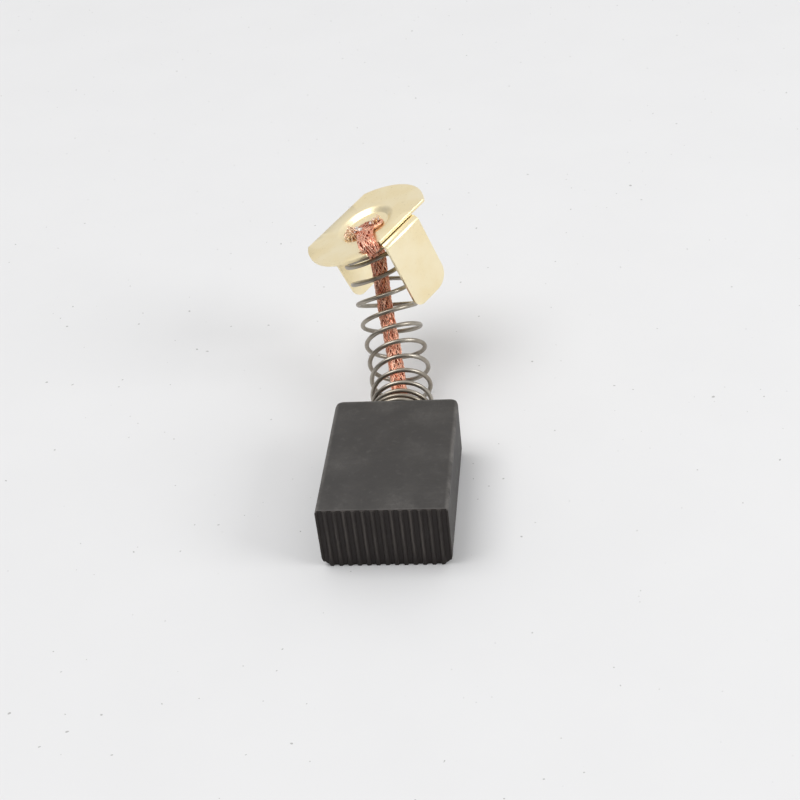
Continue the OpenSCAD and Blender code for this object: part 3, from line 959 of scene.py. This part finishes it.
class CARBONBRUSH_OT_weld(bpy.types.Operator):
    """Frayed wires and silver lumps where the lead is welded into the dish"""
    bl_idname = "carbon_brush.weld"
    bl_label = "Welded end"
    WIRES = 30
    WIRE_STEPS = 30
    WIRE_R = 0.05 * MM
    LUMPS = 7
    LUMP_RIPPLE = 0.02  # mm

    def execute(self, context):
        path = BraidPath()
        rng = random.Random(5)
        self.fray(path, rng)
        self.lumps(path, rng)
        return {"FINISHED"}

    def fray(self, path, rng):
        """Fine wires that curl out of both ends of the flattened lead."""
        bm = bmesh.new()
        shade = bm.verts.layers.float.new("strand")
        tube = straight_tube(self.WIRE_STEPS, 5)
        half = path.sizes.weld_width / 2
        for side, share, spread in ((-1, 1.0, 1.0), (1, 0.72, 0.75)):
            for _ in range(round(self.WIRES * share)):
                self.curl(bm, tube, path, rng, (side * half * share, spread), shade)
        finished("weld_fray", bm, [copper_finish("frayed_copper", tinned=True)], "cap",
                 "solder_spots")

    def curl(self, bm, tube, path, rng, reach_to, shade):
        """One loose wire: it leaves the flat end, rises, curls and comes down again."""
        half, spread = reach_to
        across = Vector((path.inward.y, -path.inward.x))
        start = rng.uniform(0.40, 0.90) * half
        reach = rng.uniform(0.10, 0.34) * half
        along = rng.uniform(-0.85, 0.75) * spread * MM
        drift = rng.uniform(-0.9, 0.9) * spread * MM
        height = rng.uniform(0.15, 0.75) * MM
        hook = rng.uniform(-0.5, 0.5) * MM
        t = np.linspace(0, 1, self.WIRE_STEPS + 1)
        u = start + reach * np.sin(t * math.pi * rng.uniform(0.55, 1.0))
        v = along + drift * t + hook * np.sin(2 * math.pi * t)
        root = 0.25 * MM
        rise = height * np.sin(math.pi * np.minimum(1, t * 1.1))
        w = path.weld_z + root + rise - root * t
        flat = [path.weld + across * float(a) + path.inward * float(b) for a, b in zip(u, v)]
        places = np.array([path.cap_place @ Vector((p.x, p.y, float(c)))
                           for p, c in zip(flat, w)])
        ways = unit(np.gradient(places, axis=0))
        side = square_to(np.array((0.2, 0.3, 1.0)), ways)
        over = np.cross(ways, side)
        verts, co = append(bm, tube)
        ring = np.clip(np.round(co[:, 2]).astype(int), 0, len(places) - 1)
        place_all(verts, places[ring] + self.WIRE_R * (
            co[:, :1] * side[ring] + co[:, 1:2] * over[ring]))
        tone = rng.random()
        for vert in verts:
            vert[shade] = tone

    def lumps(self, path, rng):
        """Low silver lumps where the wires have run together."""
        bm = bmesh.new()
        across = Vector((path.inward.y, -path.inward.x))
        for side in (-1, 1):
            for _ in range(self.LUMPS):
                u = side * rng.uniform(0.30, 0.72) * path.sizes.weld_width / 2
                v = rng.uniform(-0.55, 0.55) * MM
                p = path.weld + across * u + path.inward * v
                z = path.weld_z + rng.uniform(0.20, 0.38) * MM
                place = Matrix.Translation((p.x, p.y, z))
                size = [rng.uniform(0.22, 0.46) * MM, rng.uniform(0.18, 0.36) * MM,
                        rng.uniform(0.20, 0.36) * MM]
                turned = Matrix.Rotation(rng.uniform(0, math.pi), 4, "Z")
                shape = Matrix.Diagonal((*size, 1))
                bmesh.ops.create_icosphere(bm, subdivisions=3, radius=1,
                                           matrix=path.cap_place @ place @ turned @ shape)
        for vert in bm.verts:
            shift = math.sin(vert.co.x * 9100) + math.sin(vert.co.y * 8300 + 2 * vert.co.z * 7700)
            vert.co += vert.normal * shift * self.LUMP_RIPPLE * MM
        finished("weld_lumps", bm, [solder_finish()], "cap", "solder_spots")


class CARBONBRUSH_OT_stage(bpy.types.Operator):
    """Pale floor, soft light and the camera"""
    bl_idname = "carbon_brush.stage"
    bl_label = "Stage"
    BRIGHT_WAY = (0.05, 0.50, 0.86)
    AIM = Vector((0, 0.01, 0.005))
    LAMPS = (("key", (-0.45, -0.02, 1.05), 0.70, 5.6),
             ("fill", (0.55, -0.12, 0.28), 0.30, 1.5))
    LENS = 68.7
    CAMERA_PLACE = (0.02049, -0.1201, 0.1010)
    CAMERA_RIGHT = Vector((0.9918, 0.0855, -0.0953))
    CAMERA_UP = Vector((0.0265, 0.5909, 0.8063))

    def execute(self, context):
        self.floor(context)
        self.lights(context)
        self.camera(context)
        return {"FINISHED"}

    @staticmethod
    def floor(context):
        stage = context.scene.carbon_brush_stage
        f = Finish("pale_floor")
        cloud = f.ramp(f.noise(60, 4, 0.6), 0.3, 0.7)
        speck = f.ramp(f.noise(1500, 1, 0.4), 0.775, 0.80)
        base = f.mix(cloud * 0.25, stage.floor, (0.71, 0.71, 0.715))
        base = f.mix(speck * 0.6, base, (0.25, 0.24, 0.23))
        f.set(Base_Color=base, Roughness=0.9, Specular_IOR_Level=0.2)
        bm = bmesh.new()
        bmesh.ops.create_grid(bm, x_segments=4, y_segments=4, size=1.5)
        mesh = bpy.data.meshes.new("floor")
        bm.to_mesh(mesh)
        bm.free()
        mesh.materials.append(f.material)
        floor = bpy.data.objects.new("floor", mesh)
        context.scene.collection.objects.link(floor)

    def lights(self, context):
        """A sky that is brightest high up behind the part, and two soft lamps."""
        world = bpy.data.worlds.new("studio")
        world.use_nodes = True
        tree = world.node_tree
        background = tree.nodes["Background"]
        way = tree.nodes.new("ShaderNodeTexCoord")
        share = tree.nodes.new("ShaderNodeVectorMath")
        share.operation = "DOT_PRODUCT"
        share.inputs[1].default_value = self.BRIGHT_WAY
        light = tree.nodes.new("ShaderNodeMapRange")
        light.interpolation_type = "SMOOTHSTEP"
        for name, value in (("From Min", -0.20), ("From Max", 0.85), ("To Min", 0.05),
                            ("To Max", 0.84)):
            light.inputs[name].default_value = value
        tree.links.new(way.outputs["Generated"], share.inputs[0])
        tree.links.new(share.outputs["Value"], light.inputs["Value"])
        tree.links.new(light.outputs["Result"], background.inputs["Strength"])
        background.inputs["Color"].default_value = (1, 1, 1, 1)
        context.scene.world = world
        for name, place, size, power in self.LAMPS:
            lamp = bpy.data.lights.new(name, "AREA")
            lamp.size = size
            lamp.energy = power
            holder = bpy.data.objects.new(name, lamp)
            holder.location = place
            aim = self.AIM - Vector(place)
            holder.rotation_euler = aim.to_track_quat("-Z", "Y").to_euler()
            context.scene.collection.objects.link(holder)

    def camera(self, context):
        right = self.CAMERA_RIGHT
        back = right.cross(self.CAMERA_UP).normalized()
        up = back.cross(right).normalized()
        lens = bpy.data.cameras.new("camera")
        lens.lens = self.LENS
        lens.sensor_width = 36
        lens.clip_start = 0.01
        camera = bpy.data.objects.new("camera", lens)
        turned = Matrix((right, up, back)).transposed().to_4x4()
        camera.matrix_world = Matrix.Translation(self.CAMERA_PLACE) @ turned
        context.scene.collection.objects.link(camera)
        context.scene.camera = camera
        context.scene.view_settings.view_transform = "Standard"


class CARBONBRUSH_PT_panel(bpy.types.Panel):
    """Lists the pieces of the carbon brush"""
    bl_idname = "CARBONBRUSH_PT_panel"
    bl_label = "Carbon brush"
    bl_space_type = "VIEW_3D"
    bl_region_type = "UI"
    bl_category = "Carbon brush"

    def draw(self, context):
        for operator in OPERATORS:
            self.layout.operator(operator.bl_idname)
        for name in GROUPS:
            settings = getattr(context.scene, name)
            box = self.layout.box()
            for key in settings.bl_rna.properties.keys():
                if key not in ("rna_type", "name"):
                    box.prop(settings, key)


GROUPS = {
    "carbon_brush_block": CarbonBrushBlock,
    "carbon_brush_spring": CarbonBrushSpring,
    "carbon_brush_braid": CarbonBrushBraid,
    "carbon_brush_cap": CarbonBrushCap,
    "carbon_brush_stage": CarbonBrushStage,
}
OPERATORS = (
    CARBONBRUSH_OT_block,
    CARBONBRUSH_OT_spring,
    CARBONBRUSH_OT_braid,
    CARBONBRUSH_OT_cap,
    CARBONBRUSH_OT_weld,
    CARBONBRUSH_OT_stage,
)


def register():
    for group in GROUPS.values():
        bpy.utils.register_class(group)
    for name, group in GROUPS.items():
        setattr(bpy.types.Scene, name, PointerProperty(type=group))
    for operator in OPERATORS:
        bpy.utils.register_class(operator)
    bpy.utils.register_class(CARBONBRUSH_PT_panel)


def unregister():
    bpy.utils.unregister_class(CARBONBRUSH_PT_panel)
    for operator in reversed(OPERATORS):
        bpy.utils.unregister_class(operator)
    for name in GROUPS:
        delattr(bpy.types.Scene, name)
    for group in reversed(GROUPS.values()):
        bpy.utils.unregister_class(group)


def main():
    register()
    bpy.ops.carbon_brush.block()
    bpy.ops.carbon_brush.spring()
    bpy.ops.carbon_brush.braid()
    bpy.ops.carbon_brush.cap()
    bpy.ops.carbon_brush.weld()
    bpy.ops.carbon_brush.stage()


if __name__ == "__main__":
    main()
